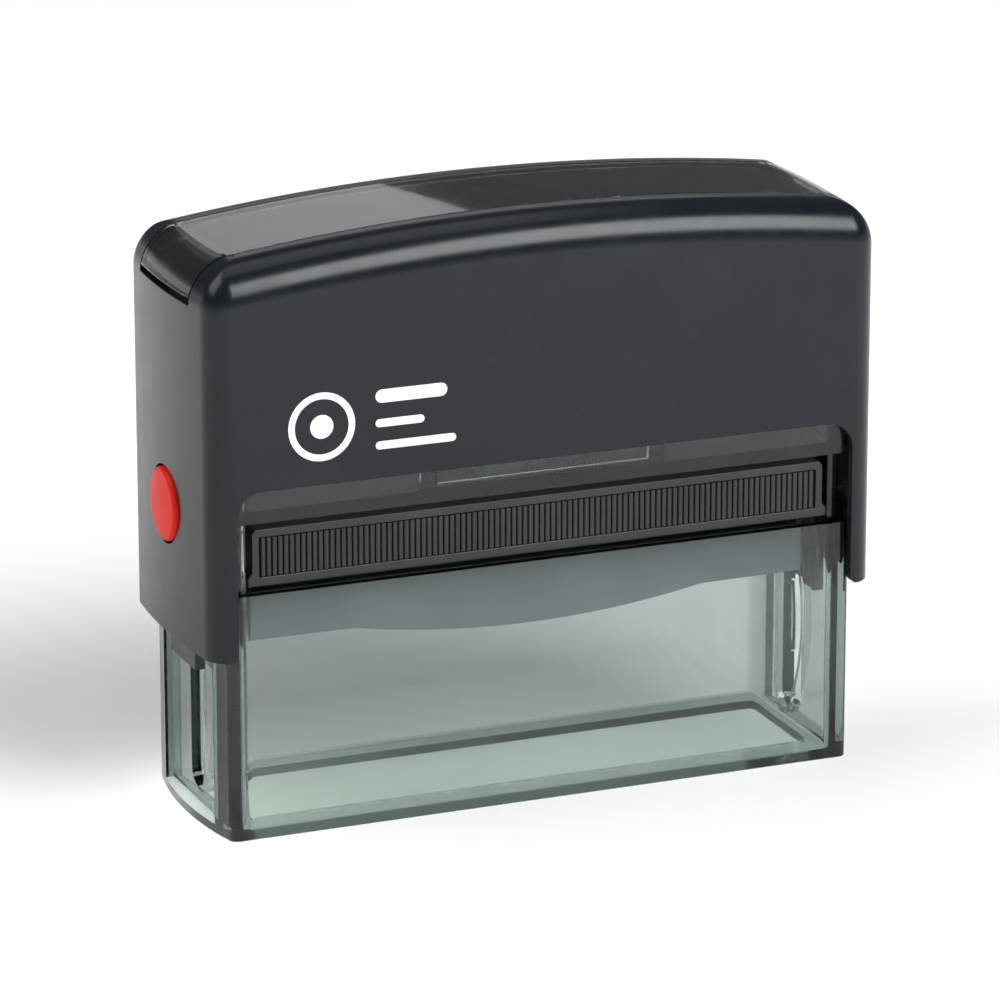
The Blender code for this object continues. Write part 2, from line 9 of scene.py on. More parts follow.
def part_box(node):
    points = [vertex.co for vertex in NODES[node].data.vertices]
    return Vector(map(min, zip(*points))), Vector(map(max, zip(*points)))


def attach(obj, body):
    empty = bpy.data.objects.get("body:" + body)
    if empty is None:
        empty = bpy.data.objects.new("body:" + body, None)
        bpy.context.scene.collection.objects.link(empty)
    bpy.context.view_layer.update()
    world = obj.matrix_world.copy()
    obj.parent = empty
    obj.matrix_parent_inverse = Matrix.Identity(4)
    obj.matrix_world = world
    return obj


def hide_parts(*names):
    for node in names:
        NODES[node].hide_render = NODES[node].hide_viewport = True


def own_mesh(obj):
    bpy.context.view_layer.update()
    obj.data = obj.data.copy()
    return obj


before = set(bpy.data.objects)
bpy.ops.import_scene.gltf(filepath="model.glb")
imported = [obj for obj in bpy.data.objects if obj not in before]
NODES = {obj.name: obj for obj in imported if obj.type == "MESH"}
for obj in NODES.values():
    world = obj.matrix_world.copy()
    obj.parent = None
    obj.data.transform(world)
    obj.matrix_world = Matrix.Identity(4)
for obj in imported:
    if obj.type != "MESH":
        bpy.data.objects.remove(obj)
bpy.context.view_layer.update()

# ---------------------------------------------------------------- sizes, from the frame and in metres
COVER_LOW, COVER_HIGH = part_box("cover")
FRAME_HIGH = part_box("base_frame")[1]
CARTRIDGE_LOW, CARTRIDGE_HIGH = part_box("pad_cartridge")
HOLDER_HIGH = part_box("platen")[1]
WINDOW_LOW, WINDOW_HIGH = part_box("index_window")
SPRING_LOW, SPRING_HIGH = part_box("return_spring")

GAP = 0.0003                       # clearance between touching pieces
STEP = 0.0002                      # keeps the faces of joined shapes apart
PAST_ENDS = 0.060                  # cutting tools reach this far along X, beyond everything
PAST_SIDES = 0.030                 # the same along Y
PAST_TOP = 0.090                   # the same along Z
SIDES = {"left": -1, "right": 1}
FACES = {"front": -1, "back": 1}

COVER_CORNER = 0.0036
COVER_BOW = 0.0007                 # how far the ends bulge at their middle
COVER_EDGE = 0.0054                # rounding between the walls and the top
COVER_FRONT_WALL = 0.0013
COVER_END_WALL = 0.0015
COVER_ROOF = 0.0034
COVER_STEP = 0.0705                # above this height the end walls are thicker
ARCH_RADIUS = 0.320
WINDOW_WALL = 0.0012
WINDOW_SINK = 0.0008               # how far the recess floor lies below the window's ends
RECESS_DEPTH = 0.0021              # from the cover's outer form to the floor under the card
STRIP_FOOT = 0.060                 # forms that only serve the window and its recess start here

FRAME_CORNER = 0.0014
FRAME_BOW = 0.0014
ROOM = (0.0425, 0.0130)            # half-length and half-depth
ROOM_CORNER = 0.0015
PLATE = 0.0012                     # thickness of the bottom plate
DECK = (0.0430, 0.0447)            # underside and top
BAY = (0.0335, 0.0432)             # lowest and highest height of the cartridge bay
BAY_STEP = 0.0129                  # the bay takes everything further out than this, posts included
IMPRINT_HALF = (0.0408, 0.0089)
NOTCH = (0.0052, 0.0480)           # half-width and lowest height
RECESS = (0.0440, 0.0097)          # floor and half-width
SLOT_HALF_WIDTH = 0.00235
SLOT_HEIGHTS = (0.0030, 0.0315)
SLOT_RIM_HALF_WIDTH = 0.0033
SLOT_RIM_HEIGHTS = (0.0022, 0.0323)
CAM_RIB_FACE = 0.0412
CAM_BAND_HALF_WIDTH = 0.0019
GROOVE_HALF_WIDTH = 0.0012
SCREEN_DEPTH = (0.0118, 0.0136)    # how far from the middle the spring screens stand

AXLE_HEIGHT = 0.0258
AXLE_BORE_RADIUS = 0.0015
STROKE = 0.0175
FOLLOWER_OFFSET = 0.0042
BOSS = (0.0350, 0.0396)            # inner and outer end
BOSS_RADIUS = 0.0030
BOSS_BORE_FLOOR = 0.0366

BUTTON_HEIGHT = 0.0428
BUTTON_RADIUS = 0.0050
BUTTON_FLANGE = (0.0062, 0.0008)   # radius and thickness


# ---------------------------------------------------------------- mesh helpers
def mesh_object(name, bm):
    mesh = bpy.data.meshes.new(name)
    bmesh.ops.recalc_face_normals(bm, faces=bm.faces)
    bm.to_mesh(mesh)
    bm.free()
    item = bpy.data.objects.new(name, mesh)
    bpy.context.scene.collection.objects.link(item)
    mesh.shade_smooth()
    mesh.set_sharp_from_angle(angle=math.radians(30))
    return item


def box(name, low, high):
    bm = bmesh.new()
    size = [b - a for a, b in zip(low, high)]
    middle = [(a + b) / 2 for a, b in zip(low, high)]
    bmesh.ops.create_cube(bm, size=1.0, matrix=Matrix.LocRotScale(Vector(middle), None, Vector(size)))
    return mesh_object(name, bm)


def placed(a, b, h, axis):
    """A flat outline's point (a, b), lifted by h along the extrusion's axis."""
    return {"X": (h, a, b), "Y": (a, h, b), "Z": (a, b, h)}[axis]


def prism(name, points, near, far, axis):
    """A flat outline, extruded between near and far along an axis."""
    bm = bmesh.new()
    rings = [[bm.verts.new(placed(a, b, h, axis)) for a, b in points] for h in (near, far)]
    bm.faces.new(rings[0][::-1])
    bm.faces.new(rings[1])
    count = len(points)
    for i in range(count):
        j = (i + 1) % count
        bm.faces.new((rings[0][i], rings[0][j], rings[1][j], rings[1][i]))
    return mesh_object(name, bm)


def arc(centre, radius, start, end, steps):
    """Points on an arc, with its angles in degrees."""
    points = []
    for step in range(steps + 1):
        angle = math.radians(start + (end - start) * step / steps)
        points.append((centre[0] + radius * math.cos(angle), centre[1] + radius * math.sin(angle)))
    return points


def stadium(half_width, low, high):
    """An upright slot outline with round ends, its overall heights low and high."""
    top = arc((0.0, high - half_width), half_width, 0, 180, 20)
    return top + arc((0.0, low + half_width), half_width, 180, 360, 20)


def outline(half_length, half_depth, radius, bow, side_steps):
    """A rounded rectangle with bowed ends, anticlockwise from the middle of its +X end."""
    radius = max(radius, 0.0005)
    straight = half_depth - radius
    quarter = []
    end_steps = 8 if bow else 1
    for step in range(end_steps):
        y = straight * step / end_steps
        quarter.append((half_length - bow * (y / straight) ** 2, y))
    quarter += arc((half_length - bow - radius, straight), radius, 0, 90, 10)
    reach = quarter[-1][0]
    side = [(reach - 2 * reach * step / side_steps, half_depth) for step in range(1, side_steps)]
    upper = quarter + side + [(-x, y) for x, y in reversed(quarter)]
    return upper + [(x, -y) for x, y in reversed(upper[1:-1])]


def loft(name, rows):
    """A closed mesh through matching rings; strips across Y close an arched last one."""
    bm = bmesh.new()
    rings = [[bm.verts.new(point) for point in row] for row in rows]
    count = len(rings[0])
    for lower, upper in zip(rings, rings[1:]):
        for i in range(count):
            j = (i + 1) % count
            bm.faces.new((lower[i], lower[j], upper[j], upper[i]))
    bm.faces.new(list(reversed(rings[0])))
    cap = rings[-1]
    if len({vert.co.z for vert in cap}) == 1:
        bm.faces.new(cap)
        return mesh_object(name, bm)
    for i in range(count // 2):
        strip = (cap[i], cap[i + 1], cap[count - i - 1], cap[(count - i) % count])
        bm.faces.new(list(dict.fromkeys(strip)))
    return mesh_object(name, bm)


def rounded_box(name, half_length, half_depth, heights, radius, bow=0.0):
    ring = outline(half_length, half_depth, radius, bow, 1)
    return loft(name, [[(x, y, z) for x, y in ring] for z in heights])


def span(sign, near, far):
    """Two distances from the middle, as a range along an axis on the side that sign gives."""
    return sorted((sign * near, sign * far))


def lathe(name, profile, place, segments=64):
    """A turned solid about its own Z, from a profile whose first and last points are on the axis."""
    bm = bmesh.new()
    rings = []
    for radius, z in profile:
        if radius == 0.0:
            rings.append([bm.verts.new((0.0, 0.0, z))])
            continue
        turns = [2 * math.pi * step / segments for step in range(segments)]
        rings.append([bm.verts.new((radius * math.cos(t), radius * math.sin(t), z)) for t in turns])
    for upper, lower in zip(rings, rings[1:]):
        for i in range(segments):
            j = (i + 1) % segments
            corners = [upper[i % len(upper)], upper[j % len(upper)]]
            corners += [lower[j % len(lower)], lower[i % len(lower)]]
            bm.faces.new(list(dict.fromkeys(corners)))
    bm.transform(place)
    return mesh_object(name, bm)


def boolean(item, other, operation):
    tool = item.modifiers.new(other.name, "BOOLEAN")
    tool.operation = operation
    tool.object = other


def cut(item, *others):
    for other in others:
        boolean(item, other, "DIFFERENCE")


def join(item, *others):
    for other in others:
        boolean(item, other, "UNION")


def settle(item, bevel=0.0, segments=2):
    """Applies the Booleans, drops the cutting tools, and rounds the edges that are left sharp."""
    sharp = math.radians(35)
    tools = [m.object for m in item.modifiers if m.type == "BOOLEAN"]
    bpy.context.view_layer.update()
    evaluated = item.evaluated_get(bpy.context.evaluated_depsgraph_get())
    mesh = bpy.data.meshes.new_from_object(evaluated)
    item.modifiers.clear()
    old = item.data
    item.data = mesh
    bpy.data.meshes.remove(old)
    for tool in tools:
        bpy.data.objects.remove(tool, do_unlink=True)
    bm = bmesh.new()
    bm.from_mesh(mesh)
    bmesh.ops.remove_doubles(bm, verts=bm.verts, dist=2e-6)
    bmesh.ops.dissolve_limit(bm, angle_limit=0.0005, verts=bm.verts, edges=bm.edges)
    bm.to_mesh(mesh)
    bm.free()
    if bevel:
        soften = item.modifiers.new("soft_edges", "BEVEL")
        soften.width = bevel
        soften.segments = segments
        soften.limit_method = "ANGLE"
        soften.angle_limit = sharp
        soften.miter_outer = "MITER_ARC"
        soften.harden_normals = False
    mesh.shade_smooth()
    mesh.set_sharp_from_angle(angle=sharp)
    if bevel:
        clean = item.modifiers.new("clean_normals", "WEIGHTED_NORMAL")
        clean.keep_sharp = False
        clean.weight = 80
        sharp_edges = mesh.attributes.get("sharp_edge")
        if sharp_edges is not None:
            mesh.attributes.remove(sharp_edges)


# ---------------------------------------------------------------- materials
def shader_of(name):
    made = bpy.data.materials.new(name)
    made.use_nodes = True
    return made, made.node_tree, made.node_tree.nodes["Principled BSDF"]


def noise(tree, scale, detail=4.0, roughness=0.5):
    """A noise in the object's own space, in cycles per metre."""
    place = tree.nodes.new("ShaderNodeTexCoord")
    texture = tree.nodes.new("ShaderNodeTexNoise")
    texture.inputs["Scale"].default_value = scale
    texture.inputs["Detail"].default_value = detail
    texture.inputs["Roughness"].default_value = roughness
    tree.links.new(place.outputs["Object"], texture.inputs["Vector"])
    return texture


def ranged(tree, source, low, high):
    """The noise's useful range, mapped onto low to high."""
    mapped = tree.nodes.new("ShaderNodeMapRange")
    mapped.inputs["From Min"].default_value = 0.3
    mapped.inputs["From Max"].default_value = 0.7
    mapped.inputs["To Min"].default_value = low
    mapped.inputs["To Max"].default_value = high
    tree.links.new(source.outputs["Fac"], mapped.inputs["Value"])
    return mapped


def blend_colours(tree, source, dark, light):
    ramp = tree.nodes.new("ShaderNodeValToRGB")
    ramp.color_ramp.elements[0].position = 0.35
    ramp.color_ramp.elements[0].color = (*dark, 1.0)
    ramp.color_ramp.elements[1].position = 0.65
    ramp.color_ramp.elements[1].color = (*light, 1.0)
    tree.links.new(source.outputs["Fac"], ramp.inputs["Fac"])
    return ramp


def add_bump(tree, shader, source, strength, distance):
    bump = tree.nodes.new("ShaderNodeBump")
    bump.inputs["Strength"].default_value = strength
    bump.inputs["Distance"].default_value = distance
    tree.links.new(source.outputs["Fac"], bump.inputs["Height"])
    tree.links.new(bump.outputs["Normal"], shader.inputs["Normal"])


def moulded(name, dark, light, rough, grain=2600.0, metallic=0.0, specular=0.5):
    """Moulded plastic, rubber or metal: mottled colour, uneven gloss and a fine surface grain."""
    made, tree, shader = shader_of(name)
    mottle = noise(tree, 90.0)
    tree.links.new(blend_colours(tree, mottle, dark, light).outputs["Color"], shader.inputs["Base Color"])
    haze = ranged(tree, noise(tree, 260.0, 5.0), *rough)
    tree.links.new(haze.outputs["Result"], shader.inputs["Roughness"])
    shader.inputs["Metallic"].default_value = metallic
    shader.inputs["Specular IOR Level"].default_value = specular
    add_bump(tree, shader, noise(tree, grain, 3.0), 0.35, 0.000006)
    return made


def smoky(name, tint, density, rough, ripple):
    """Clear plastic, tinted in its depth, with the faint ripple of a moulding."""
    made, tree, shader = shader_of(name)
    shader.inputs["Base Color"].default_value = (1.0, 1.0, 1.0, 1.0)
    shader.inputs["Transmission Weight"].default_value = 1.0
    shader.inputs["IOR"].default_value = 1.49
    haze = ranged(tree, noise(tree, 150.0, 4.0), *rough)
    tree.links.new(haze.outputs["Result"], shader.inputs["Roughness"])
    add_bump(tree, shader, noise(tree, 60.0, 2.0), 0.25, ripple)
    volume = tree.nodes.new("ShaderNodeVolumeAbsorption")
    volume.inputs["Color"].default_value = (*tint, 1.0)
    volume.inputs["Density"].default_value = density
    tree.links.new(volume.outputs["Volume"], tree.nodes["Material Output"].inputs["Volume"])
    return made


def felt(name, dark, light):
    made, tree, shader = shader_of(name)
    fibres = noise(tree, 1800.0, 6.0, 0.7)
    tree.links.new(blend_colours(tree, fibres, dark, light).outputs["Color"], shader.inputs["Base Color"])
    tree.links.new(ranged(tree, fibres, 0.75, 0.95).outputs["Result"], shader.inputs["Roughness"])
    add_bump(tree, shader, fibres, 0.8, 0.00008)
    return made


COVER_PLASTIC = moulded("cover_plastic", (0.0045, 0.0070, 0.0100), (0.0062, 0.0092, 0.0130),
                        (0.20, 0.27), specular=0.30)
SMOKE = smoky("smoke_plastic", (0.28, 0.40, 0.36), 470.0, (0.015, 0.05), 0.00002)
CLEAR = smoky("window_plastic", (0.40, 0.43, 0.45), 500.0, (0.01, 0.03), 0.00001)
CARD = moulded("card_face", (0.006, 0.006, 0.007), (0.010, 0.010, 0.012), (0.45, 0.6), grain=4200.0)
RED = moulded("button_plastic", (0.62, 0.012, 0.006), (0.70, 0.018, 0.010), (0.36, 0.44),
              specular=0.12)
CARTRIDGE_PLASTIC = moulded("cartridge_plastic", (0.010, 0.011, 0.013), (0.016, 0.018, 0.021), (0.30, 0.42))
HOLDER_PLASTIC = moulded("holder_plastic", (0.12, 0.14, 0.155), (0.15, 0.168, 0.185), (0.35, 0.5))
ACETAL = moulded("acetal_plastic", (0.60, 0.61, 0.60), (0.70, 0.71, 0.69), (0.35, 0.5))
STEEL = moulded("bright_steel", (0.56, 0.57, 0.58), (0.68, 0.69, 0.70), (0.16, 0.26), metallic=1.0)
FOAM = felt("foam_rubber", (0.05, 0.05, 0.05), (0.10, 0.10, 0.10))
DIE_RUBBER = moulded("die_rubber_red", (0.22, 0.035, 0.025), (0.30, 0.050, 0.035), (0.55, 0.75), grain=1800.0)
PAD_FELT = felt("inked_felt", (0.006, 0.006, 0.014), (0.014, 0.014, 0.030))
PRINT = moulded("white_print", (0.80, 0.80, 0.79), (0.88, 0.88, 0.87), (0.35, 0.5), grain=5000.0)


def wear(item, look):
    item.data.materials.clear()
    item.data.materials.append(look)


# ---------------------------------------------------------------- cover
def crest(x):
    """Height of the cover's arched top above x."""
    return COVER_HIGH.z - x * x / (2 * ARCH_RADIUS)


def cover_form(name, inset, bottom, wall=0.0):
    """The cover's outer form, drawn in by inset all round, and by wall more on its sides."""
    edge = COVER_EDGE - inset
    half_length = COVER_HIGH.x - inset - wall
    half_depth = COVER_HIGH.y - inset - wall
    corner = COVER_CORNER - inset
    side_steps, steps = 40, 14
    base = outline(half_length, half_depth, corner, COVER_BOW, side_steps)
    rows = [[(x, y, bottom) for x, y in base]]
    for step in range(steps + 1):
        angle = math.pi / 2 * step / steps
        drawn = edge * (1 - math.cos(angle))
        lift = edge * math.sin(angle)
        ring = outline(half_length - drawn, half_depth - drawn, corner - drawn, COVER_BOW, side_steps)
        rows.append([(x, y, crest(x) - inset - edge + lift) for x, y in ring])
    return loft(name, rows)


def opening_outline():
    """The cover's front opening, flared at its foot and rounded at its top corners."""
    half, top, foot, corner = 0.0437, 0.0480, 0.0011, 0.0037
    low = COVER_LOW.z
    past_foot = low - 0.002
    right = [(half + foot, past_foot), (half + foot, low)]
    right += arc((half + foot, low + foot), foot, 270, 180, 8)[1:]
    right += arc((half - corner, top - corner), corner, 0, 90, 14)
    return right + [(-x, z) for x, z in reversed(right)]


def x_cylinder(name, radius, start, end, height, segments=64):
    """A plain cylinder along X, used as a cutting tool."""
    length = end - start
    profile = [(0.0, length), (radius, length), (radius, 0.0), (0.0, 0.0)]
    place = Matrix.Translation((start, 0.0, height)) @ Matrix.Rotation(math.pi / 2, 4, "Y")
    return lathe(name, profile, place, segments)


def make_cover():
    shell = cover_form("cover_shell", 0.0, COVER_LOW.z)
    strip = WINDOW_HIGH.y + GAP
    low_corner = (-PAST_ENDS, -strip, WINDOW_LOW.z - WINDOW_SINK)
    recess = box("recess_tool", low_corner, (PAST_ENDS, strip, PAST_TOP))
    cut(recess, cover_form("recess_floor", RECESS_DEPTH, STRIP_FOOT))
    settle(recess)
    half_length = COVER_HIGH.x - COVER_END_WALL
    half_depth = COVER_HIGH.y - COVER_FRONT_WALL
    room = (COVER_LOW.z - 0.004, COVER_STEP)
    room_corner = 0.0022
    cut(shell,
        rounded_box("cover_room", half_length, half_depth, room, room_corner, COVER_BOW),
        cover_form("roof_room", COVER_ROOF, COVER_STEP - 0.0015, GAP),
        prism("front_opening", opening_outline(), -PAST_SIDES, PAST_SIDES, "Y"),
        recess,
        x_cylinder("button_holes", BUTTON_RADIUS + GAP, -PAST_ENDS, PAST_ENDS, BUTTON_HEIGHT))
    settle(shell, bevel=0.00032, segments=3)
    wear(shell, COVER_PLASTIC)
    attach(shell, "press_cover")
    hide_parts("cover")


def make_window():
    strip = cover_form("window_strip", 0.0, STRIP_FOOT)
    low_corner = (-PAST_ENDS, WINDOW_LOW.y, WINDOW_LOW.z)
    keep = box("window_keep", low_corner, (PAST_ENDS, WINDOW_HIGH.y, PAST_TOP))
    boolean(strip, keep, "INTERSECT")
    cut(strip, cover_form("window_under", WINDOW_WALL, STRIP_FOOT - 0.002))
    settle(strip, bevel=0.00018)
    wear(strip, CLEAR)
    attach(strip, "window")
    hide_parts("index_window")


def make_mark():
    """A plain printed emblem on the front: a ring with a dot, and three bars beside it."""
    left, low = -0.0372, 0.0492
    raised, sunk = 0.00001, 0.0001
    print_depth = (COVER_LOW.y - raised, COVER_LOW.y + sunk)
    centre = (left + 0.0052, low + 0.0066)
    outer, inner, dot = 0.0046, 0.0037, 0.0016
    ring = arc(centre, outer, 0, 350, 35)
    hole = arc(centre, inner, 350, 0, 35)
    pieces = [prism_ring("mark_ring", ring, hole, *print_depth)]
    bar_start = left + 0.0126
    bars = ((0.0098, 0.0100, 0.0018), (0.0062, 0.0068, 0.0011), (0.0032, 0.0112, 0.0011))
    for i, (height, length, thickness) in enumerate(bars):
        points = stadium_bar(bar_start, low + height, length, thickness)
        pieces.append(prism("mark_bar_%d" % i, points, *print_depth, "Y"))
    pieces.append(prism("mark_dot", arc(centre, dot, 0, 345, 23), *print_depth, "Y"))
    for piece in pieces:
        wear(piece, PRINT)
        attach(piece, "press_cover")


def stadium_bar(start, middle, length, thickness):
    """A lying bar with round ends."""
    r = thickness / 2
    right = arc((start + length - r, middle), r, -90, 90, 8)
    return right + arc((start + r, middle), r, 90, 270, 8)


def prism_ring(name, ring, hole, near, far):
    """A flat ring, extruded along Y, from its outer outline and its hole's, which runs the other way."""
    bm = bmesh.new()
    loops = []
    for points in (ring, hole[::-1]):
        loops.append([[bm.verts.new((a, h, b)) for a, b in points] for h in (near, far)])
    count = len(ring)
    (outer_near, outer_far), (inner_near, inner_far) = loops
    for i in range(count):
        j = (i + 1) % count
        bm.faces.new((outer_near[i], outer_near[j], inner_near[j], inner_near[i]))
        bm.faces.new((outer_far[i], outer_far[j], inner_far[j], inner_far[i]))
        bm.faces.new((outer_near[i], outer_near[j], outer_far[j], outer_far[i]))
        bm.faces.new((inner_near[i], inner_near[j], inner_far[j], inner_far[i]))
    return mesh_object(name, bm)


def make_buttons():
    """The red buttons, slightly domed, with a retaining flange behind the wall."""
    dome, ease, dome_steps = 0.00035, 0.0007, 8
    flat = BUTTON_RADIUS - ease
    flange_radius, flange_thickness = BUTTON_FLANGE
    flange = COVER_HIGH.x - COVER_END_WALL - GAP
    for side, sign in SIDES.items():
        low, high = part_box("lock_button_" + side)
        face = max(abs(low.x), abs(high.x))
        radii = [flat * step / dome_steps for step in range(dome_steps + 1)]
        profile = [(r, face - dome * (r / flat) ** 2) for r in radii]
        profile += arc((flat, face - dome - ease), ease, 80, 0, 7)
        profile += [(BUTTON_RADIUS, flange), (flange_radius, flange),
                    (flange_radius, flange - flange_thickness), (0.0, flange - flange_thickness)]
        place = Matrix.Translation((0.0, 0.0, BUTTON_HEIGHT)) @ Matrix.Rotation(sign * math.pi / 2, 4, "Y")
        cap = lathe("button_cap_" + side, profile, place)
        wear(cap, RED)
        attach(cap, "button_" + side)
        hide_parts("lock_button_" + side)


# ---------------------------------------------------------------- base
def follower_path(offset):
    """Where a point beside the follower pin's middle runs on the end wall as the holder turns."""
    steps = 40
    points = []
    for step in range(steps + 1):
        turn = math.pi * step / steps
        y = -FOLLOWER_OFFSET * math.sin(turn)
        z = AXLE_HEIGHT - STROKE * step / steps + FOLLOWER_OFFSET * math.cos(turn)
        slope_y = -FOLLOWER_OFFSET * math.cos(turn)
        slope_z = -STROKE / math.pi - FOLLOWER_OFFSET * math.sin(turn)
        length = math.hypot(slope_y, slope_z)
        points.append((y + offset * slope_z / length, z - offset * slope_y / length))
    return points


def follower_band(half_width):
    """The outline swept along the follower's path, with round ends."""
    low = AXLE_HEIGHT - STROKE - FOLLOWER_OFFSET
    high = AXLE_HEIGHT + FOLLOWER_OFFSET
    lead = math.degrees(math.atan2(FOLLOWER_OFFSET, STROKE / math.pi))
    top = arc((0.0, high), half_width, 180 - lead, -lead, 16)[1:-1]
    bottom = arc((0.0, low), half_width, lead, lead - 180, 16)[1:-1]
    return follower_path(half_width)[::-1] + top + follower_path(-half_width) + bottom


def screen(side, sign):
    """The U-shaped rib that stiffens the upper wall on either side of the spring."""
    outer, inner, low, sill, top = 0.0173, 0.01505, 0.0439, 0.0452, 0.0515
    points = [(-outer, top), (-outer, low), (outer, low), (outer, top), (inner, top), (inner, sill),
              (-inner, sill), (-inner, top)]
    return prism("screen_" + side, points, *span(sign, *SCREEN_DEPTH), "Y")


def add_cam_track(body, side, sign):
    """The raised band with the follower's groove, and the rim round the axle's slot."""
    weld = 0.0005
    band = span(sign, CAM_RIB_FACE, ROOM[0] + weld)
    rim = span(sign, CAM_RIB_FACE + STEP, ROOM[0] + weld + STEP)
    groove = span(sign, CAM_RIB_FACE - 2 * weld, ROOM[0] + STEP)
    join(body,
         prism("cam_band_" + side, follower_band(CAM_BAND_HALF_WIDTH), *band, "X"),
         prism("slot_rim_" + side, stadium(SLOT_RIM_HALF_WIDTH, *SLOT_RIM_HEIGHTS), *rim, "X"))
    cut(body, prism("cam_groove_" + side, follower_band(GROOVE_HALF_WIDTH), *groove, "X"))


def make_frame():
    half_length, half_depth, top = FRAME_HIGH
    above = top + 0.004
    notch, notch_floor = NOTCH
    recess_floor, recess_half_width = RECESS
    body = rounded_box("frame_shell", half_length, half_depth, (0.0, top), FRAME_CORNER, FRAME_BOW)
    cut(body,
        rounded_box("lower_room", *ROOM, (PLATE, DECK[0]), ROOM_CORNER),
        rounded_box("upper_room", *ROOM, (DECK[1], above), ROOM_CORNER),
        rounded_box("imprint_hole", *IMPRINT_HALF, (-0.001, 0.002), 0.001),
        box("bay_front", (-PAST_ENDS, -PAST_SIDES, BAY[0]), (PAST_ENDS, -BAY_STEP, BAY[1])),
        box("bay_back", (-PAST_ENDS, BAY_STEP, BAY[0]), (PAST_ENDS, PAST_SIDES, BAY[1])),
        box("shoulder_notch", (-PAST_ENDS, -notch, notch_floor), (PAST_ENDS, notch, above)))
    for side, sign in SIDES.items():
        near, far = span(sign, recess_floor, PAST_ENDS)
        cut(body, box("recess_" + side, (near, -recess_half_width, PLATE), (far, recess_half_width, above)))
    for side, sign in SIDES.items():
        add_cam_track(body, side, sign)
    join(body, *(screen(side, sign) for side, sign in FACES.items()))
    cut(body, prism("axle_slots", stadium(SLOT_HALF_WIDTH, *SLOT_HEIGHTS), -PAST_ENDS, PAST_ENDS, "X"))
    settle(body, bevel=0.00022)
    wear(body, SMOKE)
    body.visible_shadow = False        # light passes the smoked walls, where a solid would block it
    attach(body, "base")
    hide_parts("base_frame")


def rib_wave(half_length, pitch, face, depth):
    """One long edge of the ribbed grip: flat-topped ribs with narrow rounded grooves."""
    count = round(2 * half_length / pitch)
    parts, sharpness = 8, 5
    points = []
    for rib in range(count):
        for part in range(parts):
            t = part / parts
            x = -half_length + 2 * half_length * (rib + t) / count
            points.append((x, face + depth * abs(2 * t - 1) ** sharpness))
    return points


def make_cartridge():
    low, high = CARTRIDGE_LOW.z, CARTRIDGE_HIGH.z
    wide, half_depth = CARTRIDGE_HIGH.x, CARTRIDGE_HIGH.y
    narrow, ease = wide - 0.0006, 0.0005
    right = [(wide, low), (wide, low + 0.0011), (narrow, low + 0.0019), (narrow, high - ease),
             (narrow - ease, high)]
    points = right + [(-x, z) for x, z in reversed(right)]
    tray = prism("cartridge_tray", points, -half_depth, half_depth, "Y")
    pad_low, pad_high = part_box("ink_pad")
    cut(tray, box("pad_room", (pad_low.x - GAP, pad_low.y - GAP, low - 0.002),
                  (pad_high.x + GAP, pad_high.y + GAP, pad_high.z + GAP)))
    grip_low, grip_high, grip_half, sunk = low + 0.0012, high - 0.0011, 0.0397, 0.0006
    for side, sign in FACES.items():
        near, far = span(sign, half_depth - sunk, half_depth + 0.002)
        cut(tray, box("grip_" + side, (-grip_half, near, grip_low), (grip_half, far, grip_high)))
    settle(tray, bevel=0.00012)
    wear(tray, CARTRIDGE_PLASTIC)
    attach(tray, "base")
    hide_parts("pad_cartridge")
    rib_half, pitch, rib_depth = grip_half - STEP, 0.0008, 0.00042
    rib_face = -(half_depth - 0.00005)
    rib_back = -(half_depth - sunk - 0.0004)
    margin = 0.0001
    for side, sign in FACES.items():
        points = rib_wave(rib_half, pitch, rib_face, rib_depth)
        points += [(rib_half, rib_back), (-rib_half, rib_back)]
        points = [(x, -sign * y) for x, y in points]
        ribs = prism("grip_ribs_" + side, points, grip_low + margin, grip_high - margin, "Z")
        wear(ribs, CARTRIDGE_PLASTIC)
        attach(ribs, "base")


def make_spring():
    """The return spring: evenly pitched open coils, which the real cover squashes as it goes down."""
    curve = bpy.data.curves.new("spring_wire", "CURVE")
    curve.dimensions = "3D"
    wire = 0.00045
    curve.bevel_depth = wire
    curve.bevel_resolution = 5
    curve.use_fill_caps = True
    radius = SPRING_HIGH.x - wire
    low, high = SPRING_LOW.z + wire, SPRING_HIGH.z - wire
    turns, per_turn = 8, 36
    count = turns * per_turn
    spline = curve.splines.new("POLY")
    spline.points.add(count)
    for step, point in enumerate(spline.points):
        turn = 2 * math.pi * step / per_turn
        share = step / count
        point.co = (radius * math.cos(turn), radius * math.sin(turn), low + (high - low) * share, 1.0)
    source = bpy.data.objects.new("spring_source", curve)
    bpy.context.scene.collection.objects.link(source)
    bpy.context.view_layer.update()
    mesh = bpy.data.meshes.new_from_object(source.evaluated_get(bpy.context.evaluated_depsgraph_get()))
    bpy.data.objects.remove(source, do_unlink=True)
    coil = bpy.data.objects.new("spring_coil", mesh)
    bpy.context.scene.collection.objects.link(coil)
    mesh.shade_smooth()
    wear(coil, STEEL)
    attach(coil, "base")
    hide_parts("return_spring")
    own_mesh(coil)


